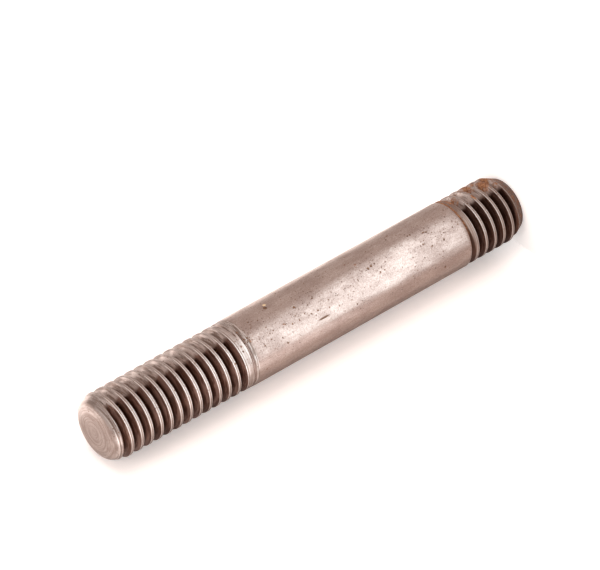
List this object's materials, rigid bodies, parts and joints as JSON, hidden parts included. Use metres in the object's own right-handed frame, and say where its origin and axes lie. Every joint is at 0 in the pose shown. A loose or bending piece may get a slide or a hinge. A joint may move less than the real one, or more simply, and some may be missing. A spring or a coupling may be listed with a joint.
{
  "type": "double ended stud",
  "caption": "Round steel stud with a screw thread on each end, a long one for a nut and a short one for a tapped hole, and a plain shank between them.",
  "frame": {"origin": "centre of the flat end face of the short thread, the metal end, on which the stud stands", "axes": "+Z along the stud's axis from the metal end to the nut end; +X and +Y square to it"},
  "size_m": [0.0096, 0.0096, 0.0702],
  "materials": {
    "steel": "turned steel, dulled by age, darker in the threads, with small pits and spots of rust"
  },
  "bodies": {
    "root": {"stud": "steel"}
  },
  "joints": []
}
